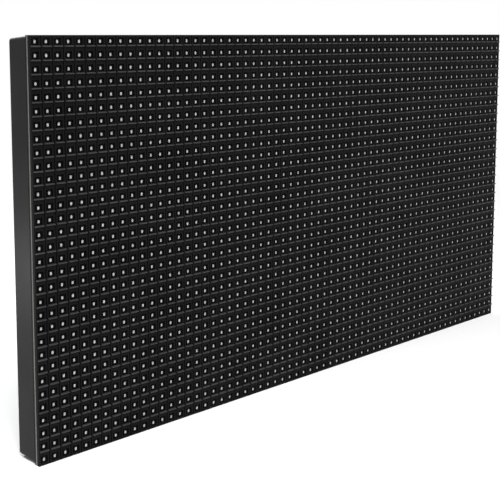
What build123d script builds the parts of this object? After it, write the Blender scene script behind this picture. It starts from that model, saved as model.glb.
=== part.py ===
"""Full-colour lamp matrix panel: a printed board full of lamps between a rear case and a louvred mask.

Millimetres. The panel stands upright: X runs along its width, +Z is up and the lamps look along -Y.
The origin is the centre of the fixing pattern, on the flat rear face of the case.
"""
from math import radians, tan
import os

from build123d import *

os.makedirs("parts", exist_ok=True)

# Lamp matrix
pitch = 5.0
column_count = 64
row_count = 32
lamp_width = 2.1
lamp_height = 1.2

# Depths of the layers
case_depth = 11.4
board_thickness = 1.2
mask_thickness = 1.4

# Gaps to the next panel of a tiled wall, at each edge
mask_inset = 0.2
board_inset = 0.2
case_inset = 0.45

# Front mask: one pocket row for each lamp row, with a fin on the bar between two rows
pocket_width = 3.0
pocket_height = 2.6
fin_reach = 0.7
fin_lip = 0.3
fin_drop = 0.5
fin_top_gap = 0.15

# Pegs of the mask, which the case's screws hold
peg_radius = 1.2
peg_in_case = 1.0
peg_clearance = 0.15
peg_end_clearance = 0.3
peg_pilot_radius = 0.7
peg_columns = (6, 27)
peg_row = 14
spine_peg_column = 13

# Rear case
wall = 1.8
wall_draft = 4.5
rear_plate = 2.0
corner_radius = 1.2
seat_step = 0.6
seat_inset = 0.8
border = 14.0
bar_width = 10.0
bar_columns = (6, 19)
window_radius = 1.5
rib_thickness = 1.6
rib_depth = 6.0
boss_radius = 3.4

# Case screws
head_radius = 2.0
head_height = 1.3
head_sink = 1.6
head_clearance = 0.3
shank_clearance = 0.2
thread_reach = 2.4
thread_clearance = 0.03
thread_end_clearance = 0.6

# Threaded fixing inserts
fixing_width = 304.0
fixing_height = 144.0
fixing_pad = 12.0
insert_radius = 2.1
insert_bore_radius = 1.25
insert_length = 6.0
insert_fit = 0.02

# Data sockets, with two rows of pins
pin_pitch = 2.54
pin_rows = 2
pins_per_row = 8
pin_side = 0.64
pin_height = 8.0
pin_hole_clearance = 0.05
shroud_wall = 1.2
shroud_end = 6.2
shroud_cavity_width = 6.4
shroud_floor = 2.4
shroud_height = 9.1
key_width = 4.5
socket_offset = 123.0

# Power header, with one row of posts and a latch wall
post_pitch = 3.96
post_count = 4
post_side = 1.14
post_height = 8.6
post_end = 3.9
power_depth = 7.6
power_floor = 3.4
latch_wall = 1.2
latch_height = 9.2
latch_notch = 2.4

# Chips: body length, body width, height and how far the leads reach past the body
driver_chip = (8.65, 3.9, 1.5, 1.05)
buffer_chip = (12.8, 7.5, 2.3, 1.4)
decoder_chip = (9.9, 3.9, 1.5, 1.05)
switch_chip = (4.9, 3.9, 1.5, 1.05)
chip_standoff = 0.1
chip_bevel = 0.4
lead_thickness = 0.22
lead_end_gap = 0.35
driver_count = 24
driver_spacing = 26.0
driver_line = 38.0
buffer_columns = (-80.0, -48.0)
buffer_line = 18.0
decoder_columns = (-12.5, 12.5)
decoder_line = 24.0
switch_columns = (42.0, 54.0, 76.0, 88.0)
switch_line = 18.0

# Supply capacitors
capacitor_radius = 3.15
capacitor_height = 5.8
capacitor_base = 6.6
capacitor_base_height = 1.0
capacitor_base_cut = 1.3
capacitor_column = 12.5
capacitor_line = 52.0

# Flats that stand for the round of small repeated pieces: bosses, pegs and heads, then shanks
boss_flats = 12
shank_flats = 8

# Sizes that follow
panel_width = pitch * column_count
panel_height = pitch * row_count
board_depth = case_depth + board_thickness
front_depth = board_depth + mask_thickness
bar_height = pitch - pocket_height
peg_foot = case_depth - peg_in_case
peg_pilot_depth = thread_reach + thread_end_clearance
shank_length = peg_foot + thread_reach - head_sink
matrix_width = panel_width - pitch + pocket_width
fixing_column = fixing_width / 2
fixing_row = fixing_height / 2
row_places = [(j - (row_count - 1) / 2) * pitch for j in range(row_count)]
bar_places = [z + pitch / 2 for z in row_places[:-1]]

# The pegs stand where the corners of four lamps' cells meet
peg_spots = [
    (sx * column * pitch, sz * peg_row * pitch)
    for column in peg_columns for sx in (-1, 1) for sz in (-1, 1)
]
peg_spots += [(sx * spine_peg_column * pitch, 0) for sx in (-1, 1)]
case_bars = sorted(sx * column * pitch for column in bar_columns for sx in (-1, 1))
fixing_spots = [(sx * fixing_column, sz * fixing_row) for sx in (-1, 0, 1) for sz in (-1, 1)]


def at(depth, x=0.0, z=0.0):
    """A place on the plane that lies `depth` in front of the rear face, seen from the front."""
    return Plane.XZ.offset(depth) * Pos(x, z)


def block(depth, thickness, width, height, x=0.0, z=0.0):
    """A plain block that starts at `depth` and grows towards the front."""
    return extrude(at(depth, x, z) * Rectangle(width, height), thickness)


def rod(depth, length, radius, x=0.0, z=0.0, flats=boss_flats):
    """A rod with flats for its round, which starts at `depth` and grows towards the front."""
    return extrude(at(depth, x, z) * RegularPolygon(radius, flats), length)


def case_outline(depth, inwards=0.0):
    """The case's drafted outline at a depth, or the same outline drawn in by a wall."""
    draft = (case_depth - depth) * tan(radians(wall_draft))
    width = panel_width - 2 * (case_inset + draft + inwards)
    height = panel_height - 2 * (case_inset + draft + inwards)
    return at(depth) * RectangleRounded(width, height, corner_radius)


def window_list():
    """Centre and size of each window in the rear plate, from the left seen from the front."""
    edges = [border - panel_width / 2]
    for x in case_bars:
        edges += [x - bar_width / 2, x + bar_width / 2]
    edges.append(panel_width / 2 - border)
    top = panel_height / 2 - border
    windows = []
    for number in range(len(case_bars) + 1):
        left, right = edges[2 * number], edges[2 * number + 1]
        middle, width = (left + right) / 2, right - left
        if number % 2 == 0:
            windows.append((middle, 0.0, width, 2 * top))
        else:
            height = top - bar_width / 2
            offset = (top + bar_width / 2) / 2
            windows += [(middle, sz * offset, width, height) for sz in (-1, 1)]
    return windows


def pad_span(place, wall_face):
    """Both ends of a pad along one axis, from its insert's place and the wall's inner face."""
    if place == 0:
        return -fixing_pad / 2, fixing_pad / 2
    near = min(abs(place) - fixing_pad / 2, wall_face)
    far = max(abs(place) + fixing_pad / 2, wall_face)
    return (near, far) if place > 0 else (-far, -near)


def make_rear_case():
    """Drafted tray with window openings, stiffening ribs, screw bosses and pads for the inserts."""
    shell = loft([case_outline(case_depth), case_outline(0)], ruled=True)
    hollow = loft([case_outline(case_depth, wall), case_outline(rear_plate, wall)], ruled=True)
    shell -= hollow
    # The wall steps back just behind the board, which leaves a shadow gap round its edge
    seat_width = panel_width - 2 * (case_inset + seat_inset)
    seat_height = panel_height - 2 * (case_inset + seat_inset)
    seat_cut = Rectangle(panel_width, panel_height) - Rectangle(seat_width, seat_height)
    shell -= extrude(at(case_depth - seat_step) * seat_cut, seat_step)
    shell -= [
        extrude(at(0, x, z) * RectangleRounded(width, height, window_radius), rear_plate)
        for x, z, width, height in window_list()
    ]
    # Webs under the bars, which end in the walls and at the spine's bars
    web_depth = rib_depth - rear_plate
    inside = panel_height - 2 * (case_inset + wall)
    webs = [block(rear_plate, web_depth, rib_thickness, inside - pitch, x) for x in case_bars]
    for left, right in (case_bars[:2], case_bars[2:]):
        webs.append(block(rear_plate, web_depth, right - left, rib_thickness, (left + right) / 2))
    bosses = [rod(rear_plate, case_depth - rear_plate, boss_radius, x, z) for x, z in peg_spots]
    # Each pad surrounds its insert and runs to the walls beside it
    pads = []
    for x, z in fixing_spots:
        left, right = pad_span(x, panel_width / 2 - case_inset - wall)
        low, high = pad_span(z, panel_height / 2 - case_inset - wall)
        pads.append(block(0, case_depth, right - left, high - low, (left + right) / 2, (low + high) / 2))
    shell += webs + bosses + pads
    socket_depth = peg_in_case + peg_end_clearance
    cuts = [rod(0, head_sink, head_radius + head_clearance, x, z) for x, z in peg_spots]
    cuts += [
        rod(head_sink, case_depth - head_sink, peg_pilot_radius + shank_clearance, x, z, shank_flats)
        for x, z in peg_spots
    ]
    cuts += [
        rod(case_depth - socket_depth, socket_depth, peg_radius + peg_clearance, x, z)
        for x, z in peg_spots
    ]
    cuts += [rod(0, insert_length, insert_radius + insert_fit, x, z) for x, z in fixing_spots]
    return shell - cuts


def make_circuit_board():
    """Board with a clearance hole for each peg of the mask."""
    board = block(
        case_depth, board_thickness, panel_width - 2 * board_inset, panel_height - 2 * board_inset
    )
    return board - [
        rod(case_depth, board_thickness, peg_radius + peg_clearance, x, z) for x, z in peg_spots
    ]


def make_front_mask():
    """Mask: a rim on the board, a bar with a louvre fin between each two rows, and pegs."""
    width = panel_width - 2 * mask_inset
    height = panel_height - 2 * mask_inset
    mask = block(board_depth, mask_thickness, width, height)
    mask -= [
        block(board_depth, mask_thickness, matrix_width, pocket_height, 0, z) for z in row_places
    ]
    # Each fin slopes out and down from a bar's top edge to a lip with a flat underside
    top = bar_height / 2 - fin_top_gap
    profile = [
        (front_depth, top),
        (front_depth + fin_reach, top - fin_drop + fin_lip),
        (front_depth + fin_reach, top - fin_drop),
        (front_depth, top - fin_drop),
    ]
    start = -matrix_width / 2
    fins = []
    for z in bar_places:
        points = [(start, -depth, z + height_here) for depth, height_here in profile]
        fin_face = make_face(Polyline(*points, close=True))
        fins.append(extrude(fin_face, matrix_width, dir=(1, 0, 0)))
    pegs = [rod(peg_foot, board_depth - peg_foot, peg_radius, x, z) for x, z in peg_spots]
    mask += fins + pegs
    return mask - [
        rod(peg_foot, peg_pilot_depth, peg_pilot_radius, x, z, shank_flats) for x, z in peg_spots
    ]


def make_lamp_rows():
    """The lamps of each row, joined along the row into one strip on the board."""
    length = panel_width - pitch + lamp_width
    return Compound([block(board_depth, lamp_height, length, lamp_width, 0, z) for z in row_places])


def make_case_screws():
    """Pan-head screws, each sunk in the case and driven into a peg."""
    screws = []
    seat = head_sink
    for x, z in peg_spots:
        head = rod(seat - head_height, head_height, head_radius, x, z)
        shank_radius = peg_pilot_radius - thread_clearance
        screws.append(head + rod(seat, shank_length, shank_radius, x, z, shank_flats))
    return Compound(screws)


def make_fixing_inserts():
    """Threaded bushes pressed into the pads, flush with the rear face."""
    bushes = []
    for x, z in fixing_spots:
        ring = at(0, x, z) * (RegularPolygon(insert_radius, boss_flats) - Circle(insert_bore_radius))
        bushes.append(extrude(ring, insert_length))
    return Compound(bushes)


def pin_places(x, z):
    """Centre of each pin of a data socket that stands upright at x, z."""
    return [
        (x + (i - (pin_rows - 1) / 2) * pin_pitch, z + (j - (pins_per_row - 1) / 2) * pin_pitch)
        for i in range(pin_rows) for j in range(pins_per_row)
    ]


def make_shroud(x, z, key_side):
    """Box shroud of a data socket, with a key slot in one long wall."""
    cavity_length = (pins_per_row - 1) * pin_pitch + 2 * shroud_end - 2 * shroud_wall
    width = shroud_cavity_width + 2 * shroud_wall
    length = cavity_length + 2 * shroud_wall
    low = case_depth - shroud_height
    cavity = shroud_height - shroud_floor
    shroud = block(low, shroud_height, width, length, x, z)
    shroud -= block(low, cavity, shroud_cavity_width, cavity_length, x, z)
    key_x = x + key_side * (shroud_cavity_width + shroud_wall) / 2
    shroud -= block(low, cavity, shroud_wall, key_width, key_x, z)
    hole = pin_side + 2 * pin_hole_clearance
    return shroud - [
        block(low + cavity, shroud_floor, hole, hole, px, pz) for px, pz in pin_places(x, z)
    ]


def make_pins(x, z):
    """Square pins of one data socket, standing on the board."""
    low = case_depth - pin_height
    pins = [block(low, pin_height, pin_side, pin_side, px, pz) for px, pz in pin_places(x, z)]
    return Compound(pins)


def post_places():
    """Centre of each post of the power header, in a row across the panel's middle."""
    return [((i - (post_count - 1) / 2) * post_pitch, 0.0) for i in range(post_count)]


def make_power_housing():
    """Floor and notched latch wall of the power header."""
    length = (post_count - 1) * post_pitch + post_end
    housing = block(case_depth - power_floor, power_floor, length, power_depth)
    wall_z = (power_depth - latch_wall) / 2
    housing += block(case_depth - latch_height, latch_height, length, latch_wall, 0, wall_z)
    for number in range(post_count - 1):
        notch_x = (number - (post_count - 2) / 2) * post_pitch
        housing -= block(
            case_depth - latch_height, latch_notch, latch_notch / 2, latch_wall, notch_x, wall_z
        )
    hole = post_side + 2 * pin_hole_clearance
    return housing - [
        block(case_depth - power_floor, power_floor, hole, hole, x, z) for x, z in post_places()
    ]


def make_power_posts():
    """Square posts of the power header."""
    low = case_depth - post_height
    return Compound([block(low, post_height, post_side, post_side, x, z) for x, z in post_places()])


def make_chip(size, x, z):
    """Moulded chip on the rear of the board, with a bent row of leads along each long side."""
    length, width, height, reach = size
    top = case_depth - height
    body = block(top, height - chip_standoff, length, width, x, z)
    marked_edge = body.edges().filter_by(Axis.X).sort_by(Axis.Y)[-2:].sort_by(Axis.Z)[:1]
    body = chamfer(marked_edge, chip_bevel)
    shoulder = case_depth - height / 2
    run = length - 2 * lead_end_gap
    for side in (-1, 1):
        inner, outer = z + side * width / 2, z + side * (width / 2 + reach)
        points = [
            (inner, shoulder - lead_thickness / 2),
            (outer - side * (reach - lead_thickness) / 2, shoulder - lead_thickness / 2),
            (outer, case_depth - lead_thickness),
            (outer, case_depth),
            (outer - side * (reach + lead_thickness) / 2, case_depth),
            (inner, shoulder + lead_thickness / 2),
        ]
        outline = [(x - run / 2, -depth, place) for place, depth in points]
        body += extrude(make_face(Polyline(*outline, close=True)), run, dir=(1, 0, 0))
    return body


def make_capacitor(x, z):
    """Can capacitor on its cut-cornered base."""
    low = case_depth - capacitor_height
    half = capacitor_base / 2
    cut = half - capacitor_base_cut
    corners = [(-half, -half), (half, -half), (half, cut), (cut, half), (-cut, half), (-half, cut)]
    base = extrude(
        at(case_depth - capacitor_base_height, x, z) * make_face(Polyline(*corners, close=True)),
        capacitor_base_height,
    )
    can_height = capacitor_height - capacitor_base_height
    return base + extrude(at(low, x, z) * Circle(capacitor_radius), can_height)


nodes = {
    "rear_case": make_rear_case(),
    "circuit_board": make_circuit_board(),
    "front_mask": make_front_mask(),
    "lamp_rows": make_lamp_rows(),
    "case_screws": make_case_screws(),
    "fixing_inserts": make_fixing_inserts(),
    "data_in_shroud": make_shroud(-socket_offset, 0, 1),
    "data_in_pins": make_pins(-socket_offset, 0),
    "data_out_shroud": make_shroud(socket_offset, 0, 1),
    "data_out_pins": make_pins(socket_offset, 0),
    "power_housing": make_power_housing(),
    "power_posts": make_power_posts(),
}

drivers_per_line = driver_count // 2
for number in range(driver_count):
    line, place = divmod(number, drivers_per_line)
    x = (place - (drivers_per_line - 1) / 2) * driver_spacing
    z = driver_line if line == 0 else -driver_line
    nodes[f"driver_chip_{number + 1:02d}"] = make_chip(driver_chip, x, z)

groups = (
    ("buffer_chip", buffer_chip, buffer_columns, buffer_line),
    ("decoder_chip", decoder_chip, decoder_columns, decoder_line),
    ("row_switch", switch_chip, switch_columns, switch_line),
)
for name, size, places, line in groups:
    spots = [(x, sz * line) for sz in (1, -1) for x in places]
    if name == "decoder_chip":
        spots = spots[:2]
    for number, (x, z) in enumerate(spots):
        nodes[f"{name}_{number + 1}"] = make_chip(size, x, z)

capacitor_spots = [(sx * capacitor_column, sz * capacitor_line) for sx in (-1, 1) for sz in (-1, 1)]
for number, (x, z) in enumerate(capacitor_spots):
    nodes[f"capacitor_{number + 1}"] = make_capacitor(x, z)

for name, shape in nodes.items():
    export_step(shape, f"parts/{name}.step")
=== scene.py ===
"""Dresses the lamp matrix panel: louvred mask, lamps, board, chips, sockets, screws and rear case."""

import math
from collections import namedtuple

import bmesh
import bpy
import numpy as np
from mathutils import Matrix, Vector
from mathutils.geometry import tessellate_polygon


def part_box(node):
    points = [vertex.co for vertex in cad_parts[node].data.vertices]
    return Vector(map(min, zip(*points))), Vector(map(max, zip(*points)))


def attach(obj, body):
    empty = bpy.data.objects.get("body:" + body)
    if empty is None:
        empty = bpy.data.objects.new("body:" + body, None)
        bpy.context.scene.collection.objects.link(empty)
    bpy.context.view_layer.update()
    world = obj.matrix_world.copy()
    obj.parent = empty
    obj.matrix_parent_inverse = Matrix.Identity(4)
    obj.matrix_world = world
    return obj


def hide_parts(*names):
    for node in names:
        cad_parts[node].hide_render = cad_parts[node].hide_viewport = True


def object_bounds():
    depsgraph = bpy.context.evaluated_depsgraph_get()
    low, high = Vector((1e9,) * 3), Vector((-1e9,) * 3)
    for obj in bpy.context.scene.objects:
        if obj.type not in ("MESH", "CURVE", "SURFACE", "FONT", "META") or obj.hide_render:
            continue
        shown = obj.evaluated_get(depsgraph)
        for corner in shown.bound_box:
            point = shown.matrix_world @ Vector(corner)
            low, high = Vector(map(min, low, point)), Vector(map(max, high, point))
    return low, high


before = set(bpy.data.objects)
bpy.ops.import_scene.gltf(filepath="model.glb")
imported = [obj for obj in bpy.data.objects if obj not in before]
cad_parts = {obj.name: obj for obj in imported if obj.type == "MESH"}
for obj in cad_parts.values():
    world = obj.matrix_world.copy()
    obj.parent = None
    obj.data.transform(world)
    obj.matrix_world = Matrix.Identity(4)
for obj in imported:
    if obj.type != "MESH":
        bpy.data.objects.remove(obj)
cad_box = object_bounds()

# Sizes in millimetres. A depth counts from the rear face towards the front.
MM = 0.001
PITCH = 5.0
COLUMNS, ROWS = 64, 32
MASK_THICKNESS = 1.4
# Small step that keeps two faces out of one plane
CLEAR = 0.01


def depths(name):
    """Depths of a node's rearmost and foremost point."""
    lowest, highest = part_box(name)
    return round(-highest.y / MM, 3), round(-lowest.y / MM, 3)


def centred(count, step):
    """Evenly spaced places about zero."""
    return [(number - (count - 1) / 2) * step for number in range(count)]


BOARD_REAR, BOARD_FRONT = depths("circuit_board")
LAMP_TOP = depths("lamp_rows")[1]
FACE = round(BOARD_FRONT + MASK_THICKNESS, 3)
REACH = depths("front_mask")[1]
EDGE_X, EDGE_Z = round(cad_box[1].x / MM, 3), round(cad_box[1].z / MM, 3)
COLUMN_PLACES = np.array(centred(COLUMNS, PITCH))
ROW_PLACES = np.array(centred(ROWS, PITCH))

# Pegs of the mask with their screws, and the fixing inserts
PEG_COLUMNS, PEG_ROW, SPINE_COLUMN = (6, 27), 14, 13
PEG_SPOTS = [
    (sx * column * PITCH, sz * PEG_ROW * PITCH)
    for column in PEG_COLUMNS for sx in (-1, 1) for sz in (-1, 1)
]
PEG_SPOTS += [(-SPINE_COLUMN * PITCH, 0.0), (SPINE_COLUMN * PITCH, 0.0)]
PEG_RADIUS, PILOT_RADIUS, PEG_REACH = 1.2, 0.7, 1.0
PEG_FOOT = BOARD_REAR - PEG_REACH
FIXING_X, FIXING_Z = 152.0, 72.0
INSERT_SPOTS = [(x, z) for x in (-FIXING_X, 0.0, FIXING_X) for z in (-FIXING_Z, FIXING_Z)]


class Pile:
    """Vertices and faces of one mesh, in millimetres: x to the right, z up, d towards the front."""

    def __init__(self):
        self.points = []
        self.faces = []
        self.marks = []
        self.count = 0

    def add(self, points, faces, mark=0, spots=((0.0, 0.0, 0.0),)):
        """Adds a copy of a small mesh at each spot. mark is its material, or one for each face."""
        points = np.array(points, float)
        spots = np.array(spots, float).reshape(-1, 3)
        marks = [mark] * len(faces) if isinstance(mark, int) else list(mark)
        self.points.append((spots[:, None, :] + points[None]).reshape(-1, 3))
        for number in range(len(spots)):
            base = self.count + number * len(points)
            self.faces += [tuple(base + i for i in face) for face in faces]
        self.marks += marks * len(spots)
        self.count += len(points) * len(spots)

    def make(self, name, materials, replaces=(), smooth=None, outward=False):
        """Welds the pile into one object that rides on the frame."""
        points = np.concatenate(self.points)
        _, first, index = np.unique(np.round(points, 4), axis=0, return_index=True, return_inverse=True)
        index = index.reshape(-1)
        kept = points[first]
        world = np.stack([kept[:, 0], -kept[:, 2], kept[:, 1]], axis=1) * MM
        faces = [tuple(int(index[i]) for i in face) for face in self.faces]
        mesh = bpy.data.meshes.new(name)
        mesh.from_pydata(world.tolist(), [], faces)
        for item in materials:
            mesh.materials.append(item)
        mesh.polygons.foreach_set("material_index", np.array(self.marks, np.int32))
        if outward:
            work = bmesh.new()
            work.from_mesh(mesh)
            bmesh.ops.recalc_face_normals(work, faces=work.faces)
            work.to_mesh(mesh)
            work.free()
        if smooth is not None:
            mesh.shade_smooth()
            mesh.set_sharp_from_angle(angle=math.radians(smooth))
        mesh.update()
        place_piece(name, mesh, replaces)


def place_piece(name, mesh, replaces):
    """Makes a piece of the mesh, lets it ride on the frame and hides the parts it stands for."""
    piece = bpy.data.objects.new(name, mesh)
    bpy.context.scene.collection.objects.link(piece)
    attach(piece, "root")
    if replaces:
        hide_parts(*replaces)


def loop_faces(count, start=0):
    """Quads between two rings of points that follow each other in a list."""
    return [
        (start + k, start + (k + 1) % count, start + count + (k + 1) % count, start + count + k)
        for k in range(count)
    ]


def rectangle(half_x, half_z, depth):
    """Corners of a centred rectangle, anticlockwise seen from the front."""
    return [(sx * half_x, sz * half_z, depth) for sx, sz in ((-1, -1), (1, -1), (1, 1), (-1, 1))]


def ring(radius, depth, count):
    """Points on a circle, anticlockwise seen from the front."""
    angles = [2 * math.pi * k / count for k in range(count)]
    return [(radius * math.cos(a), radius * math.sin(a), depth) for a in angles]


def stack(rings, caps=True):
    """Points and faces of a body made of equal rings. caps closes its two ends."""
    count = len(rings[0])
    points = [p for r in rings for p in r]
    faces = []
    for k in range(len(rings) - 1):
        faces += loop_faces(count, k * count)
    if caps:
        faces.append(tuple(reversed(range(count))))
        faces.append(tuple(range(len(points) - count, len(points))))
    return points, faces


def block(half_x, half_z, height):
    """Points and faces of a small part that stands on the rear of the board."""
    return stack([rectangle(half_x, half_z, BOARD_REAR), rectangle(half_x, half_z, BOARD_REAR - height)])


def flat_between(outer, inner):
    """Triangles that fill the flat between an outline and a hole, numbered through both."""
    return tessellate_polygon([[Vector((p[0], p[1], 0.0)) for p in outline] for outline in (outer, inner)])


# Materials


class Shader:
    """A material whose colour, roughness and bump come from nodes."""

    def __init__(self, name, roughness=0.5, metallic=0.0, specular=0.5, ior=1.5):
        self.material = bpy.data.materials.new(name)
        self.material.use_nodes = True
        self.tree = self.material.node_tree
        self.bsdf = self.tree.nodes["Principled BSDF"]
        self.bsdf.inputs["Roughness"].default_value = roughness
        self.bsdf.inputs["Metallic"].default_value = metallic
        self.bsdf.inputs["Specular IOR Level"].default_value = specular
        self.bsdf.inputs["IOR"].default_value = ior
        self.place = self.node("ShaderNodeTexCoord").outputs["Object"]

    def node(self, kind, **settings):
        made = self.tree.nodes.new(kind)
        for key, value in settings.items():
            setattr(made, key, value)
        return made

    def link(self, source, target):
        self.tree.links.new(source, target)

    def put(self, target, value):
        """Links a socket, or writes a plain value into the target."""
        if isinstance(value, bpy.types.NodeSocket):
            self.link(value, target)
        else:
            target.default_value = value

    def math(self, operation, a, b=0.0):
        made = self.node("ShaderNodeMath", operation=operation)
        for target, value in zip(made.inputs, (a, b)):
            self.put(target, value)
        return made.outputs[0]

    def distance(self, a, b):
        """Length of the flat vector whose two parts are given."""
        return self.math("SQRT", self.math("ADD", self.math("MULTIPLY", a, a), self.math("MULTIPLY", b, b)))

    def split(self, vector=None):
        made = self.node("ShaderNodeSeparateXYZ")
        self.link(vector or self.place, made.inputs[0])
        return made.outputs

    def join(self, x, y):
        made = self.node("ShaderNodeCombineXYZ")
        self.link(x, made.inputs[0])
        self.link(y, made.inputs[1])
        return made.outputs[0]

    def noise(self, scale, detail=2.0, roughness=0.5, vector=None):
        made = self.node("ShaderNodeTexNoise")
        self.link(vector or self.place, made.inputs["Vector"])
        made.inputs["Scale"].default_value = scale
        made.inputs["Detail"].default_value = detail
        made.inputs["Roughness"].default_value = roughness
        return made.outputs["Fac"]

    def stretched(self, x, y, z):
        made = self.node("ShaderNodeMapping")
        self.link(self.place, made.inputs["Vector"])
        made.inputs["Scale"].default_value = (x, y, z)
        return made.outputs["Vector"]

    def range(self, value, low, high, to_low=0.0, to_high=1.0):
        made = self.node("ShaderNodeMapRange")
        for target, item in zip(made.inputs, (value, low, high, to_low, to_high)):
            self.put(target, item)
        return made.outputs[0]

    def spread(self, value, to_low=0.0, to_high=1.0):
        """Stretches the middle of a noise over a whole range."""
        return self.range(value, 0.3, 0.7, to_low, to_high)

    def mix(self, share, first, second):
        made = self.node("ShaderNodeMix", data_type="RGBA")
        self.put(made.inputs[0], share)
        for target, value in ((made.inputs[6], first), (made.inputs[7], second)):
            if isinstance(value, bpy.types.NodeSocket):
                self.link(value, target)
            else:
                target.default_value = (*value, 1.0)
        return made.outputs[2]

    def cells(self, size):
        """Place inside each cell of a grid across the panel, from 0 to 1, and the cell's own chance."""
        x, _, z = self.split()
        across = self.math("DIVIDE", x, size * MM)
        upward = self.math("DIVIDE", z, size * MM)
        chance = self.node("ShaderNodeTexWhiteNoise", noise_dimensions="2D")
        cell = self.join(self.math("FLOOR", across), self.math("FLOOR", upward))
        self.link(cell, chance.inputs["Vector"])
        return self.math("FRACT", across), self.math("FRACT", upward), chance

    def colour(self, value):
        self.put(self.bsdf.inputs["Base Color"], value)

    def rough(self, value):
        self.put(self.bsdf.inputs["Roughness"], value)

    def bump(self, height, strength, distance):
        made = self.node("ShaderNodeBump")
        made.inputs["Strength"].default_value = strength
        made.inputs["Distance"].default_value = distance
        self.link(height, made.inputs["Height"])
        self.link(made.outputs["Normal"], self.bsdf.inputs["Normal"])


def moulded(name, dark, light, rough, grain, strength, specular=0.5, ior=1.5):
    """Moulded plastic with a fine eroded grain and slow changes of tone and gloss."""
    slow_scale, bump_distance = 45.0, 0.00006
    made = Shader(name, specular=specular, ior=ior)
    made.colour(made.mix(made.spread(made.noise(slow_scale, 3.0)), dark, light))
    fine = made.noise(grain, 2.0, 0.6)
    made.rough(made.spread(fine, *rough))
    made.bump(fine, strength, bump_distance)
    return made.material


def plated(name, dark, light, rough):
    """Plated or tinned metal with small stains and changes of gloss."""
    grain, strength, bump_distance = 900.0, 0.15, 0.00003
    made = Shader(name, metallic=1.0)
    stain = made.noise(grain, 3.0, 0.6)
    made.colour(made.mix(made.spread(stain), dark, light))
    made.rough(made.spread(made.noise(grain * 3, 2.0), *rough))
    made.bump(stain, strength, bump_distance)
    return made.material


case_plastic = moulded(
    "case_plastic", dark=(0.009, 0.009, 0.0095), light=(0.014, 0.014, 0.0145),
    rough=(0.26, 0.36), grain=2600.0, strength=0.12, specular=0.08, ior=1.38,
)
mask_plastic = moulded(
    "mask_plastic", dark=(0.004, 0.004, 0.0045), light=(0.0065, 0.0065, 0.007),
    rough=(0.42, 0.56), grain=4200.0, strength=0.25, specular=0.05,
)
# Same plastic as the mask, given a lighter colour: a painted highlight along the fins' tops
fin_plastic_painted_highlight = moulded(
    "fin_plastic_painted_highlight", dark=(0.021, 0.021, 0.023), light=(0.034, 0.034, 0.036),
    rough=(0.38, 0.52), grain=4200.0, strength=0.15, specular=0.3,
)
lamp_body = moulded(
    "lamp_body", dark=(0.002, 0.002, 0.0022), light=(0.004, 0.004, 0.0043),
    rough=(0.5, 0.65), grain=7000.0, strength=0.2, specular=0.03,
)
header_plastic = moulded(
    "header_plastic", dark=(0.014, 0.014, 0.015), light=(0.024, 0.024, 0.025),
    rough=(0.35, 0.5), grain=3200.0, strength=0.25,
)
power_plastic = moulded(
    "power_plastic", dark=(0.72, 0.69, 0.58), light=(0.8, 0.77, 0.67),
    rough=(0.38, 0.5), grain=2600.0, strength=0.15,
)
chip_body = moulded(
    "chip_body", dark=(0.016, 0.016, 0.017), light=(0.028, 0.028, 0.029),
    rough=(0.5, 0.68), grain=6500.0, strength=0.5,
)
ceramic = moulded(
    "ceramic_tan", dark=(0.33, 0.22, 0.13), light=(0.42, 0.3, 0.19),
    rough=(0.35, 0.5), grain=3000.0, strength=0.2,
)
tinned = plated("tinned_lead", dark=(0.5, 0.5, 0.5), light=(0.68, 0.68, 0.67), rough=(0.28, 0.45))
gold = plated("gold_plate", dark=(0.72, 0.5, 0.2), light=(0.86, 0.64, 0.3), rough=(0.2, 0.34))
zinc = plated("zinc_plate", dark=(0.42, 0.42, 0.44), light=(0.6, 0.6, 0.61), rough=(0.25, 0.42))
brass = plated("turned_brass", dark=(0.6, 0.42, 0.16), light=(0.78, 0.58, 0.27), rough=(0.24, 0.4))
aluminium = plated("drawn_aluminium", dark=(0.62, 0.62, 0.64), light=(0.76, 0.76, 0.78), rough=(0.26, 0.38))


def lamp_window_material():
    """Milky epoxy over three tiny dies, a little different in each lamp."""
    tint_share, die_half, die_step, die_share = 0.3, 0.13, 0.38, 0.55
    made = Shader("lamp_window", roughness=0.3)
    across, upward, chance = made.cells(PITCH)
    tone = made.mix(chance.outputs["Value"], (0.47, 0.46, 0.42), (0.59, 0.58, 0.54))
    parts = made.node("ShaderNodeSeparateColor")
    made.link(chance.outputs["Color"], parts.inputs[0])
    tone = made.mix(made.math("MULTIPLY", parts.outputs[1], tint_share), tone, (0.44, 0.5, 0.53))
    # Each lamp's own place in millimetres
    x = made.math("MULTIPLY", made.math("SUBTRACT", across, 0.5), PITCH)
    z = made.math("MULTIPLY", made.math("SUBTRACT", upward, 0.5), PITCH)
    near_line = made.math("LESS_THAN", made.math("ABSOLUTE", x), die_half)
    for number, shade in ((1, (0.2, 0.11, 0.04)), (0, (0.22, 0.24, 0.13)), (-1, (0.13, 0.18, 0.26))):
        away = made.math("ABSOLUTE", made.math("SUBTRACT", z, number * die_step))
        die = made.math("MULTIPLY", made.math("LESS_THAN", away, die_half), near_line)
        tone = made.mix(made.math("MULTIPLY", die, die_share), tone, shade)
    made.colour(tone)
    made.rough(made.spread(made.noise(1500.0), 0.25, 0.4))
    return made.material


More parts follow.
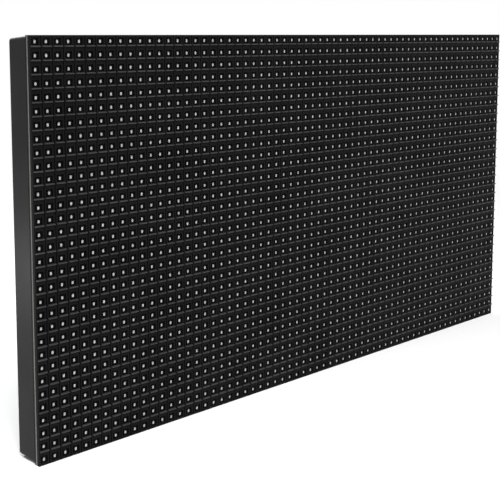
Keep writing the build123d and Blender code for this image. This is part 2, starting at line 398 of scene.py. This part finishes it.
def copper_paths(made, x, z):
    """Runs of copper seen through the solder mask: long lines across and upwards, with short links."""
    flat, turned = made.join(x, z), made.join(z, x)
    paths = None
    # Direction of each set of lines, its scale, and how far its links lie apart
    for source, scale, width in ((flat, 120.0, 3.1), (turned, 150.0, 1.7), (flat, 260.0, 6.2)):
        bricks = made.node("ShaderNodeTexBrick", offset=0.37, squash=0.6)
        made.link(source, bricks.inputs["Vector"])
        bricks.inputs["Scale"].default_value = scale
        bricks.inputs["Mortar Size"].default_value = 0.02
        bricks.inputs["Mortar Smooth"].default_value = 0.0
        bricks.inputs["Brick Width"].default_value = width
        bricks.inputs["Row Height"].default_value = 0.24
        line = bricks.outputs["Fac"]
        paths = line if paths is None else made.math("MAXIMUM", paths, line)
    # Where a slow noise is low, the board has no paths
    present = made.range(made.noise(38.0, 1.0), 0.44, 0.5)
    return made.math("MULTIPLY", paths, present)


def plated_holes(made):
    """Rims of plated holes, and painted shade in their bores, in some cells of a fine grid."""
    # Two radii as shares of a cell, and the chance above which a cell has a hole
    rim_radius, bore_radius, threshold = 0.13, 0.055, 0.62
    across, upward, chance = made.cells(PITCH / 2)
    away = made.distance(made.math("SUBTRACT", across, 0.5), made.math("SUBTRACT", upward, 0.5))
    chosen = made.math("GREATER_THAN", chance.outputs["Value"], threshold)
    rim = made.math("MULTIPLY", made.math("LESS_THAN", away, rim_radius), chosen)
    bore_shade = made.math("MULTIPLY", made.math("LESS_THAN", away, bore_radius), chosen)
    return rim, bore_shade


def board_material():
    """Printed board: black in front, green with copper paths behind, light glass fibre at the cut edge, and
    painted shade on the rest of the edge.
    """
    made = Shader("board", roughness=0.35, specular=0.25)
    x, y, z = made.split()
    normal = made.split(made.node("ShaderNodeNewGeometry").outputs["True Normal"])
    faces_rear = made.math("GREATER_THAN", normal[1], 0.5)
    faces_front = made.math("LESS_THAN", normal[1], -0.5)
    paths = copper_paths(made, x, z)
    rim, bore_shade = plated_holes(made)
    slow = made.spread(made.noise(60.0, 3.0))
    rear = made.mix(slow, (0.010, 0.085, 0.038), (0.014, 0.105, 0.05))
    rear = made.mix(paths, rear, (0.03, 0.19, 0.085))
    rear = made.mix(rim, rear, (0.11, 0.26, 0.12))
    # The bores get painted shade, dark as the inside of an open hole
    rear = made.mix(bore_shade, rear, (0.006, 0.02, 0.01))
    front = made.mix(slow, (0.007, 0.007, 0.008), (0.012, 0.012, 0.012))
    # At the edge a light core shows in the front half; the rest of the edge is painted shade, dark like the
    # shadowed gap beside the case
    core_depth, core_half, blend = 0.3, 0.29, 0.05
    weave = made.noise(900.0, 2.0, 0.6, made.stretched(1.0, 5.0, 1.0))
    edge = made.mix(made.spread(weave), (0.11, 0.11, 0.098), (0.18, 0.18, 0.162))
    depth = made.math("MULTIPLY", y, -1.0 / MM)
    from_middle = made.math("ABSOLUTE", made.math("SUBTRACT", depth, BOARD_FRONT - core_depth))
    painted_gap_shade = made.range(from_middle, core_half - blend, core_half + blend)
    edge = made.mix(painted_gap_shade, edge, (0.006, 0.007, 0.006))
    made.colour(made.mix(faces_front, made.mix(faces_rear, edge, rear), front))
    on_a_face = made.math("MAXIMUM", faces_rear, faces_front)
    made.rough(made.mix(on_a_face, (0.75, 0.75, 0.75), (0.32, 0.32, 0.32)))
    raised = made.math("MULTIPLY", made.math("ADD", paths, rim), faces_rear)
    made.bump(raised, strength=0.5, distance=0.00004)
    return made.material


def polarity_material():
    """Dark print on a capacitor's top."""
    made = Shader("polarity_mark", roughness=0.45)
    made.colour(made.mix(made.noise(900.0), (0.012, 0.012, 0.016), (0.03, 0.03, 0.035)))
    return made.material


lamp_window = lamp_window_material()
board = board_material()
dark_print = polarity_material()

for name, look in (("rear_case", case_plastic), ("circuit_board", board)):
    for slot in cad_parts[name].material_slots:
        slot.link = "OBJECT"
        slot.material = look


# Front mask: a plate with a pocket for each lamp, grooves between the columns and louvre fins

GROOVE_HALF, GROOVE_FOOT, GROOVE_DEEP = 0.22, 0.18, 0.7
POCKET_X, POCKET_Z, POCKET_BEVEL = 1.5, 1.3, 0.1
RIM_BEVEL = 0.2


def cell_limits():
    """Left, right, low and high limit of each cell's flat face, from its centre."""
    half = PITCH / 2
    left = np.full(COLUMNS, -half + GROOVE_HALF)
    right = np.full(COLUMNS, half - GROOVE_HALF)
    low = np.full(ROWS, -half)
    high = np.full(ROWS, half)
    left[0] = -EDGE_X + RIM_BEVEL - COLUMN_PLACES[0]
    right[-1] = EDGE_X - RIM_BEVEL - COLUMN_PLACES[-1]
    low[0] = -EDGE_Z + RIM_BEVEL - ROW_PLACES[0]
    high[-1] = EDGE_Z - RIM_BEVEL - ROW_PLACES[-1]
    return left, right, low, high


def add_cells(pile, left, right, low, high):
    """Face and pocket of each cell. Cells of the same size are added together."""
    pocket = rectangle(POCKET_X + POCKET_BEVEL, POCKET_Z + POCKET_BEVEL, FACE)
    pocket += rectangle(POCKET_X, POCKET_Z, FACE - POCKET_BEVEL)
    pocket += rectangle(POCKET_X, POCKET_Z, BOARD_FRONT + 2 * CLEAR)
    faces = loop_faces(4, 0) + loop_faces(4, 4) + loop_faces(4, 8)
    groups = {}
    for i in range(COLUMNS):
        for j in range(ROWS):
            key = (round(left[i], 4), round(right[i], 4), round(low[j], 4), round(high[j], 4))
            groups.setdefault(key, []).append((COLUMN_PLACES[i], ROW_PLACES[j], 0.0))
    for (x0, x1, z0, z1), spots in groups.items():
        outer = [(x0, z0, FACE), (x1, z0, FACE), (x1, z1, FACE), (x0, z1, FACE)]
        pile.add(outer + pocket, faces, 0, spots)


def add_grooves(pile, low, high):
    """Grooves between the columns, one length for each row, so that they share the cells' edges."""
    foot = FACE - GROOVE_DEEP
    section = [(-GROOVE_HALF, FACE), (-GROOVE_FOOT, foot), (GROOVE_FOOT, foot), (GROOVE_HALF, FACE)]
    for j in range(ROWS):
        points = [(x, z, d) for z in (low[j], high[j]) for x, d in section]
        strip = [(k, k + 1, k + 5, k + 4) for k in range(3)]
        if j == 0:
            strip.append((3, 2, 1, 0))
        if j == ROWS - 1:
            strip.append((4, 5, 6, 7))
        spots = [(x + PITCH / 2, ROW_PLACES[j], 0.0) for x in COLUMN_PLACES[:-1]]
        pile.add(points, strip, 0, spots)


def to_edge(place, limit, edge):
    """The panel's edge for a place on the face's limit. Any other place stays."""
    return math.copysign(edge, place) if abs(place) == limit else place


def add_rim(pile, left, right, low, high):
    """Rim from the face, over its bevel and back to the board."""
    xs = sorted(set(round(v, 4) for v in np.concatenate([COLUMN_PLACES + left, COLUMN_PLACES + right])))
    zs = sorted(set(round(v, 4) for v in np.concatenate([ROW_PLACES + low, ROW_PLACES + high])))
    border = [(x, zs[0]) for x in xs[:-1]] + [(xs[-1], z) for z in zs[:-1]]
    border += [(x, zs[-1]) for x in reversed(xs[1:])] + [(xs[0], z) for z in reversed(zs[1:])]
    outer = [(to_edge(x, xs[-1], EDGE_X), to_edge(z, zs[-1], EDGE_Z)) for x, z in border]
    rings = [(x, z, BOARD_FRONT + CLEAR) for x, z in outer]
    rings += [(x, z, FACE - RIM_BEVEL) for x, z in outer]
    rings += [(x, z, FACE) for x, z in border]
    count = len(border)
    pile.add(rings, loop_faces(count, 0) + loop_faces(count, count))


def add_fins(pile):
    """Louvre fins with a sloped top, a small lip, a flat underside and cut-back ends."""
    sunk, half, cut = 0.04, 2.0, 0.09
    foot = FACE - sunk
    # Height from the lamp's middle, and depth: out along the sloped top, over the lip and back below
    profile = [
        (-1.43, foot), (-1.62, REACH - 0.06), (-1.68, REACH),
        (-1.9, REACH), (-1.95, REACH - 0.05), (-1.95, foot),
    ]
    lip_middle = -1.8
    # Place along the fin of each of its sections, and how far the section is cut back
    sections = ((-half, cut), (-half + cut, 0.0), (half - cut, 0.0), (half, cut))
    points = []
    for x, back in sections:
        for z, d in profile:
            if d > foot:
                lift = back / 2 if z > lip_middle else 0.0
                points.append((x, z + lift, d - back))
            else:
                points.append((x, z, d))
    count = len(profile)
    faces = []
    for k in range(len(sections) - 1):
        starts = range(k * count, (k + 1) * count - 1)
        faces += [(a, a + 1, a + count + 1, a + count) for a in starts]
    faces.append(tuple(reversed(range(count))))
    faces.append(tuple(range(len(points) - count, len(points))))
    # Mark 1 gives the fins the mask plastic with the painted highlight
    pile.add(points, faces, 1, [(x, z, 0.0) for x in COLUMN_PLACES for z in ROW_PLACES[1:]])


def make_mask():
    """Mask with the pegs that reach through the board into the case."""
    left, right, low, high = cell_limits()
    pile = Pile()
    add_cells(pile, left, right, low, high)
    add_grooves(pile, low, high)
    add_rim(pile, left, right, low, high)
    add_fins(pile)
    sides, sunk = 12, 0.1
    steps = [(PILOT_RADIUS, PEG_FOOT), (PEG_RADIUS, PEG_FOOT), (PEG_RADIUS, BOARD_FRONT + sunk)]
    rings = [ring(radius, depth, sides) for radius, depth in steps]
    pile.add(*stack(rings, caps=False), 0, [(x, z, 0.0) for x, z in PEG_SPOTS])
    pile.make("louvred_mask", [mask_plastic, fin_plastic_painted_highlight], ["front_mask"])


def make_lamps():
    """Each lamp by itself: a square package with a recessed window whose corners are cut."""
    half, window_x, window_z, cut, sink, taper = 1.05, 0.52, 0.65, 0.2, 0.18, 0.96
    window = [
        (-window_x + cut, -window_z), (window_x - cut, -window_z), (window_x, -window_z + cut),
        (window_x, window_z - cut), (window_x - cut, window_z), (-window_x + cut, window_z),
        (-window_x, window_z - cut), (-window_x, -window_z + cut),
    ]
    points = rectangle(half, half, BOARD_FRONT + CLEAR) + rectangle(half, half, LAMP_TOP)
    points += [(x, z, LAMP_TOP) for x, z in window]
    points += [(x * taper, z * taper, LAMP_TOP - sink) for x, z in window]
    faces = loop_faces(4, 0)
    # Flat rim between the package's four corners and the window's eight
    for k in range(4):
        here, there = 4 + k, 4 + (k + 1) % 4
        side, turn = 8 + 2 * k, 8 + (2 * k + 2) % 8
        faces += [(here, there, side + 1, side), (there, turn, side + 1)]
    faces += loop_faces(8, 8)
    marks = [0] * len(faces) + [1]
    faces.append(tuple(range(16, 24)))
    pile = Pile()
    pile.add(points, faces, marks, [(x, z, 0.0) for x in COLUMN_PLACES for z in ROW_PLACES])
    pile.make("lamps", [lamp_body, lamp_window], ["lamp_rows"])


make_mask()
make_lamps()


# Rear of the board

Chip = namedtuple("Chip", "length width height reach leads lead_pitch lead_width")
CHIPS = {
    "driver_chip": Chip(8.65, 3.9, 1.5, 1.05, 12, 0.635, 0.28),
    "buffer_chip": Chip(12.8, 7.5, 2.3, 1.4, 10, 1.27, 0.42),
    "decoder_chip": Chip(9.9, 3.9, 1.5, 1.05, 8, 1.27, 0.42),
    "row_switch": Chip(4.9, 3.9, 1.5, 1.05, 4, 1.27, 0.42),
}
DRIVERS_PER_LINE, DRIVER_SPACING, DRIVER_LINE = 12, 26.0, 38.0
BUFFER_COLUMNS, SWITCH_COLUMNS, SIGNAL_LINE = (-80.0, -48.0), (42.0, 54.0, 76.0, 88.0), 18.0
DECODER_COLUMNS, DECODER_LINE = (-12.5, 12.5), 24.0
CAPACITOR_COLUMN, CAPACITOR_LINE = 12.5, 52.0
SOCKET_OFFSET = 123.0


def chip_spots():
    """Place of each chip on the board, by the name of its node."""
    driver_columns = centred(DRIVERS_PER_LINE, DRIVER_SPACING)
    drivers = [(x, z) for z in (DRIVER_LINE, -DRIVER_LINE) for x in driver_columns]
    spots = {f"driver_chip_{number:02d}": spot for number, spot in enumerate(drivers, 1)}
    for kind, columns in (("buffer_chip", BUFFER_COLUMNS), ("row_switch", SWITCH_COLUMNS)):
        both = [(x, z) for z in (SIGNAL_LINE, -SIGNAL_LINE) for x in columns]
        spots.update({f"{kind}_{number}": spot for number, spot in enumerate(both, 1)})
    for number, x in enumerate(DECODER_COLUMNS, 1):
        spots[f"decoder_chip_{number}"] = (x, DECODER_LINE)
    return spots


CHIP_SPOTS = chip_spots()


def chip_of(node):
    """Sizes of the chip that a node's name says."""
    return CHIPS[node.rsplit("_", 1)[0]]


def chip_body_mesh(chip):
    """Body with drafted sides and a round dimple beside the first pin."""
    taper, standoff = 0.13, 0.1
    sides, radius, sink, from_end, from_side = 14, 0.38, 0.08, 1.1, 1.0
    half_x, half_z = chip.length / 2, chip.width / 2
    top = BOARD_REAR - chip.height
    outline = rectangle(half_x - taper, half_z - taper, top)
    points = outline + rectangle(half_x, half_z, BOARD_REAR - chip.height / 2)
    points += rectangle(half_x - taper, half_z - taper, BOARD_REAR - standoff)
    faces = loop_faces(4, 0) + loop_faces(4, 4) + [(8, 9, 10, 11)]
    dimple = [(x - half_x + from_end, z + half_z - from_side) for x, z, _ in ring(radius, 0.0, sides)]
    start = len(points)
    points += [(x, z, top) for x, z in dimple] + [(x, z, top + sink) for x, z in dimple]
    table = list(range(4)) + [start + k for k in range(sides)]
    faces += [tuple(table[i] for i in triangle) for triangle in flat_between(outline, dimple)]
    faces += loop_faces(sides, start)
    faces.append(tuple(start + sides + k for k in range(sides)))
    return points, faces


def lead_profile(chip):
    """Side view of a bent lead: how far it stands out of the body, and its depth."""
    middle, reach = BOARD_REAR - chip.height / 2, chip.reach
    thick, inside = 0.2, -0.02
    half = thick / 2
    upper_side = [
        (inside, middle - half), (reach * 0.34, middle - half), (reach * 0.44, middle - half + 0.06),
        (reach * 0.62, BOARD_REAR - thick - 0.04), (reach * 0.7, BOARD_REAR - thick),
        (reach, BOARD_REAR - thick),
    ]
    board_side = [
        (reach, BOARD_REAR), (reach * 0.56, BOARD_REAR), (reach * 0.42, BOARD_REAR - 0.12),
        (reach * 0.26, middle + half), (inside, middle + half),
    ]
    return upper_side + board_side


def make_chips():
    """Each chip: a moulded body, and a bent lead for each pin."""
    for node, (x, z) in CHIP_SPOTS.items():
        chip = chip_of(node)
        pile = Pile()
        pile.add(*chip_body_mesh(chip), 0, [(x, z, 0.0)])
        profile = lead_profile(chip)
        count = len(profile)
        faces = loop_faces(count, 0) + [tuple(reversed(range(count))), tuple(range(count, 2 * count))]
        half = chip.lead_width / 2
        spots = [(x + column, z, 0.0) for column in centred(chip.leads, chip.lead_pitch)]
        for side in (-1, 1):
            points = [(dx, side * (chip.width / 2 + out), d) for dx in (-half, half) for out, d in profile]
            pile.add(points, faces, 1, spots)
        pile.make(f"{node}_dressed", [chip_body, tinned], [node], outward=True)


make_chips()


def capacitor_can():
    """Drawn can with a crimped neck. A third of its top is printed dark."""
    sides, radius = 48, 3.15
    # How far each ring lies inside the can's wall, and its height
    steps = [
        (0.05, 0.95), (0.0, 1.1), (0.0, 2.0), (0.12, 2.1), (0.24, 2.25), (0.24, 2.4), (0.12, 2.55),
        (0.0, 2.65), (0.0, 5.35), (0.05, 5.55), (0.16, 5.71), (0.32, 5.8), (0.62, 5.8), (0.7, 5.74),
    ]
    points, faces = stack([ring(radius - inside, BOARD_REAR - h, sides) for inside, h in steps], caps=False)
    marks = [0] * len(faces)
    top = len(points) - sides
    dark_start, dark_end = sides // 12, 5 * sides // 12
    faces.append(tuple(top + k for k in range(dark_start, dark_end + 1)))
    faces.append(tuple(top + k % sides for k in range(dark_end, sides + dark_start + 1)))
    faces.append(tuple(reversed(range(sides))))
    return points, faces, marks + [2, 0, 0]


def make_capacitors():
    """Cans on black bases with two cut corners, and flat tabs soldered beside the base."""
    half, cut, height, edge, taper = 3.3, 1.3, 1.0, 0.15, 0.96
    tab_half, tab_height, tab_offset = 0.35, 0.12, 3.5
    corners = [
        (-half, -half), (half, -half), (half, half - cut),
        (half - cut, half), (-half + cut, half), (-half, half - cut),
    ]
    base = stack([
        [(x, z, BOARD_REAR) for x, z in corners],
        [(x, z, BOARD_REAR - height + edge) for x, z in corners],
        [(x * taper, z * taper, BOARD_REAR - height) for x, z in corners],
    ])
    spots = [(sx * CAPACITOR_COLUMN, sz * CAPACITOR_LINE) for sx in (-1, 1) for sz in (-1, 1)]
    for number, (x, z) in enumerate(spots, 1):
        pile = Pile()
        pile.add(*base, 1, [(x, z, 0.0)])
        pile.add(*capacitor_can(), [(x, z, 0.0)])
        tabs = [(x, z + side * tab_offset, 0.0) for side in (-1, 1)]
        pile.add(*block(tab_half, tab_half, tab_height), 3, tabs)
        looks = [aluminium, header_plastic, dark_print, tinned]
        node = f"capacitor_{number}"
        pile.make(f"{node}_dressed", looks, [node], smooth=30, outward=True)


def make_passives():
    """A small blocking capacitor and two resistors beside each chip, each with two tinned ends."""
    gap, resistor_inset, resistor_offset = 2.2, 0.2, 2.6
    capacitor_end, resistor_end = 0.78, 0.62
    capacitors = [(x + chip_of(node).length / 2 + gap, z) for node, (x, z) in CHIP_SPOTS.items()]
    resistors = [(x - resistor_inset, z + side * resistor_offset) for x, z in capacitors for side in (-1, 1)]
    capacitor_ends = [(x, z + side * capacitor_end, 0.0) for side in (-1, 1) for x, z in capacitors]
    resistor_ends = [(x + side * resistor_end, z, 0.0) for side in (-1, 1) for x, z in resistors]
    pile = Pile()
    pile.add(*block(half_x=0.6, half_z=0.55, height=0.75), 0, [(x, z, 0.0) for x, z in capacitors])
    pile.add(*block(half_x=0.65, half_z=0.24, height=0.8), 1, capacitor_ends)
    pile.add(*block(half_x=0.5, half_z=0.36, height=0.42), 2, [(x, z, 0.0) for x, z in resistors])
    pile.add(*block(half_x=0.16, half_z=0.38, height=0.45), 1, resistor_ends)
    pile.make("board_passives", [ceramic, tinned, chip_body], outward=True)


make_capacitors()
make_passives()


def bevelled(node, look, width):
    """Copy of a CAD node with small rounds along its edges."""
    # The first two angles are in radians, the last one in degrees
    weld, flat_angle, edge_angle, smooth_angle = 1e-6, 0.02, 0.6, 50
    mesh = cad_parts[node].data.copy()
    work = bmesh.new()
    work.from_mesh(mesh)
    bmesh.ops.remove_doubles(work, verts=work.verts, dist=weld)
    bmesh.ops.dissolve_limit(work, angle_limit=flat_angle, verts=work.verts, edges=work.edges)
    edges = [e for e in work.edges if len(e.link_faces) == 2 and e.calc_face_angle(0.0) > edge_angle]
    bmesh.ops.bevel(
        work, geom=edges, offset=width * MM, segments=2, profile=0.5, affect="EDGES", clamp_overlap=True
    )
    bmesh.ops.recalc_face_normals(work, faces=work.faces)
    work.to_mesh(mesh)
    work.free()
    mesh.materials.clear()
    mesh.materials.append(look)
    mesh.shade_smooth()
    mesh.set_sharp_from_angle(angle=math.radians(smooth_angle))
    place_piece(f"{node}_dressed", mesh, [node])


bevelled("data_in_shroud", header_plastic, width=0.16)
bevelled("data_out_shroud", header_plastic, width=0.16)
bevelled("power_housing", power_plastic, width=0.2)


def pointed_pin(half, height, tip_length, tip_share):
    """Square pin that stands on the board and tapers at its tip."""
    return stack([
        rectangle(half, half, BOARD_REAR),
        rectangle(half, half, BOARD_REAR - height + tip_length),
        rectangle(half * tip_share, half * tip_share, BOARD_REAR - height),
    ])


def make_pins():
    """Pins of the two data sockets, and posts of the power header."""
    pitch, rows, per_row = 2.54, 2, 8
    post_pitch, posts = 3.96, 4
    pin = pointed_pin(half=0.32, height=8.0, tip_length=0.5, tip_share=0.5)
    post = pointed_pin(half=0.57, height=8.6, tip_length=0.7, tip_share=0.55)
    for name, centre in (("data_in_pins", -SOCKET_OFFSET), ("data_out_pins", SOCKET_OFFSET)):
        spots = [(centre + x, z, 0.0) for x in centred(rows, pitch) for z in centred(per_row, pitch)]
        pile = Pile()
        pile.add(*pin, 0, spots)
        pile.make(f"{name}_dressed", [gold], [name], outward=True)
    pile = Pile()
    pile.add(*post, 0, [(x, 0.0, 0.0) for x in centred(posts, post_pitch)])
    pile.make("power_posts_dressed", [tinned], ["power_posts"], outward=True)


def screw_mesh():
    """Pan-head screw with a cross recess in its flat top."""
    sides, shank, thread_reach = 32, 0.67, 2.4
    seat, top = 1.6, 0.3
    arm, half, sink, arm_taper, width_taper = 0.95, 0.24, 0.75, 0.62, 0.8
    # Radius and depth of each ring, from the end of the shank over the domed head to its flat top
    steps = [
        (shank, PEG_FOOT + thread_reach), (shank, seat), (1.94, seat),
        (2.0, seat - 0.12), (2.0, seat - 0.5), (1.93, seat - 0.8),
        (1.74, seat - 1.06), (1.45, seat - 1.22), (1.2, top),
    ]
    rings = [ring(radius, depth, sides) for radius, depth in steps]
    points, faces = stack(rings, caps=False)
    faces.append(tuple(reversed(range(sides))))
    cross = [
        (half, -arm), (half, -half), (arm, -half), (arm, half), (half, half), (half, arm),
        (-half, arm), (-half, half), (-arm, half), (-arm, -half), (-half, -half), (-half, -arm),
    ]
    start = len(points)
    table = [start - sides + k for k in range(sides)] + [start + k for k in range(len(cross))]
    faces += [tuple(table[i] for i in triangle) for triangle in flat_between(rings[-1], cross)]
    points += [(x, z, top) for x, z in cross]
    points += [(x * arm_taper, z * width_taper, top + sink) for x, z in cross]
    faces += loop_faces(len(cross), start)
    faces.append(tuple(start + len(cross) + k for k in range(len(cross))))
    return points, faces


def make_screws():
    """Case screws, each turned another way."""
    points, faces = screw_mesh()
    first_turn, turn_step = 0.4, 1.7
    pile = Pile()
    for number, (x, z) in enumerate(PEG_SPOTS):
        turn = first_turn + turn_step * number
        c, s = math.cos(turn), math.sin(turn)
        turned = [(a * c - b * s, a * s + b * c, d) for a, b, d in points]
        pile.add(turned, faces, 0, [(x, z, 0.0)])
    pile.make("case_screws_dressed", [zinc], ["case_screws"], smooth=28, outward=True)


def make_inserts():
    """Threaded brass bushes with a small lead-in."""
    outer, length, sides = 2.03, 6.0, 24
    root, crest, thread_pitch = 1.38, 1.25, 0.25
    inner_end, thread_start, thread_end = 1.3, 0.1, 0.45
    lead_in, mouth = 0.32, 1.55
    steps = [(outer, 0.0), (outer, length), (inner_end, length)]
    depth = length - thread_start
    while depth > thread_end:
        steps += [(root, depth), (crest, depth - thread_pitch / 2)]
        depth -= thread_pitch
    steps += [(root, lead_in), (mouth, 0.0)]
    rings = [ring(radius, depth, sides) for radius, depth in steps]
    pile = Pile()
    pile.add(*stack(rings + [rings[0]], caps=False), 0, [(x, z, 0.0) for x, z in INSERT_SPOTS])
    pile.make("fixing_inserts_dressed", [brass], ["fixing_inserts"], smooth=30, outward=True)


make_pins()
make_screws()
make_inserts()


# Floor, light and camera, in metres

low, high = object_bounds()


def make_floor():
    """Pale round floor whose edge fades into the white surroundings."""
    sides, radius, fade_start, fade_end = 96, 0.9, 0.3, 0.8
    mesh = bpy.data.meshes.new("floor")
    points = [(x, y, low.z) for x, y, _ in ring(radius, 0.0, sides)]
    mesh.from_pydata(points, [], [tuple(range(sides))])
    floor = bpy.data.objects.new("floor", mesh)
    bpy.context.scene.collection.objects.link(floor)
    made = Shader("floor", roughness=0.9, specular=0.0)
    made.colour(made.mix(made.noise(6.0), (0.93, 0.93, 0.93), (0.95, 0.95, 0.95)))
    x, y, _ = made.split()
    away = made.distance(x, y)
    made.put(made.bsdf.inputs["Alpha"], made.range(away, fade_start, fade_end, 1.0, 0.0))
    mesh.materials.append(made.material)


def make_world():
    """White for camera, glossy and transmission rays, and a dimmer room, darkest below, for the rest."""
    world = bpy.data.worlds.new("studio")
    bpy.context.scene.world = world
    world.use_nodes = True
    nodes, link = world.node_tree.nodes, world.node_tree.links.new
    nodes.clear()
    white = nodes.new("ShaderNodeBackground")
    room = nodes.new("ShaderNodeBackground")
    for background in (white, room):
        background.inputs["Color"].default_value = (1.0, 1.0, 1.0, 1.0)
    place = nodes.new("ShaderNodeTexCoord")
    parts = nodes.new("ShaderNodeSeparateXYZ")
    wash = nodes.new("ShaderNodeMapRange")
    for name, value in (("From Min", -0.1), ("From Max", 0.35), ("To Min", 0.05), ("To Max", 0.24)):
        wash.inputs[name].default_value = value
    link(place.outputs["Generated"], parts.inputs[0])
    link(parts.outputs["Z"], wash.inputs["Value"])
    link(wash.outputs[0], room.inputs["Strength"])
    path = nodes.new("ShaderNodeLightPath")
    sees_white = path.outputs["Is Camera Ray"]
    for ray in ("Is Transmission Ray", "Is Glossy Ray"):
        either = nodes.new("ShaderNodeMath")
        either.operation = "MAXIMUM"
        link(sees_white, either.inputs[0])
        link(path.outputs[ray], either.inputs[1])
        sees_white = either.outputs[0]
    mix = nodes.new("ShaderNodeMixShader")
    link(sees_white, mix.inputs[0])
    link(room.outputs[0], mix.inputs[1])
    link(white.outputs[0], mix.inputs[2])
    out = nodes.new("ShaderNodeOutputWorld")
    link(mix.outputs[0], out.inputs["Surface"])


def softbox(name, place, target, width, height, power):
    """Rectangular soft light that the camera doesn't see."""
    light = bpy.data.lights.new(name, "AREA")
    light.shape = "RECTANGLE"
    light.size = width
    light.size_y = height
    light.energy = power
    lamp = bpy.data.objects.new(name, light)
    bpy.context.scene.collection.objects.link(lamp)
    lamp.location = place
    lamp.rotation_mode = "QUATERNION"
    lamp.rotation_quaternion = (Vector(target) - Vector(place)).to_track_quat("-Z", "Y")
    lamp.visible_camera = False


# The camera was fitted to the lamps' places in the photo
LENS, SHIFT_Y = 81.405, -0.139
CAMERA_PLACE = (-0.40214, -0.34601, 0.08114)
CAMERA_FORWARD = (0.72611, 0.67508, -0.13054)
CAMERA_RIGHT = (0.6811, -0.73219, 0.00198)


def make_camera():
    """Camera from its place and two directions."""
    data = bpy.data.cameras.new("camera")
    data.sensor_width = 36.0
    data.lens = LENS
    data.shift_y = SHIFT_Y
    data.clip_start = 0.01
    data.clip_end = 20.0
    camera = bpy.data.objects.new("camera", data)
    bpy.context.scene.collection.objects.link(camera)
    forward = Vector(CAMERA_FORWARD).normalized()
    right = Vector(CAMERA_RIGHT)
    right = (right - forward * right.dot(forward)).normalized()
    turn = Matrix((right, right.cross(forward), -forward)).transposed().to_4x4()
    camera.matrix_world = Matrix.Translation(CAMERA_PLACE) @ turn
    bpy.context.scene.camera = camera


make_floor()
make_world()
softbox("key", place=(-0.45, -0.8, 1.05), target=(0.0, 0.0, 0.0), width=0.7, height=0.7, power=15.0)
softbox("fill", place=(-0.6, -0.35, 1.1), target=(-0.1, 0.0, -0.08), width=0.9, height=0.9, power=11.0)
softbox("back", place=(0.1, 0.85, 0.8), target=(0.0, 0.1, -0.04), width=0.5, height=0.5, power=6.0)
# A low strip light that the left wall reflects
strip_z = low.z + 0.021
softbox(
    "strip", place=(-0.35, 0.176, strip_z), target=(-0.16, 0.0, strip_z), width=0.2, height=0.036, power=0.2
)
make_camera()
bpy.context.scene.view_settings.view_transform = "Standard"
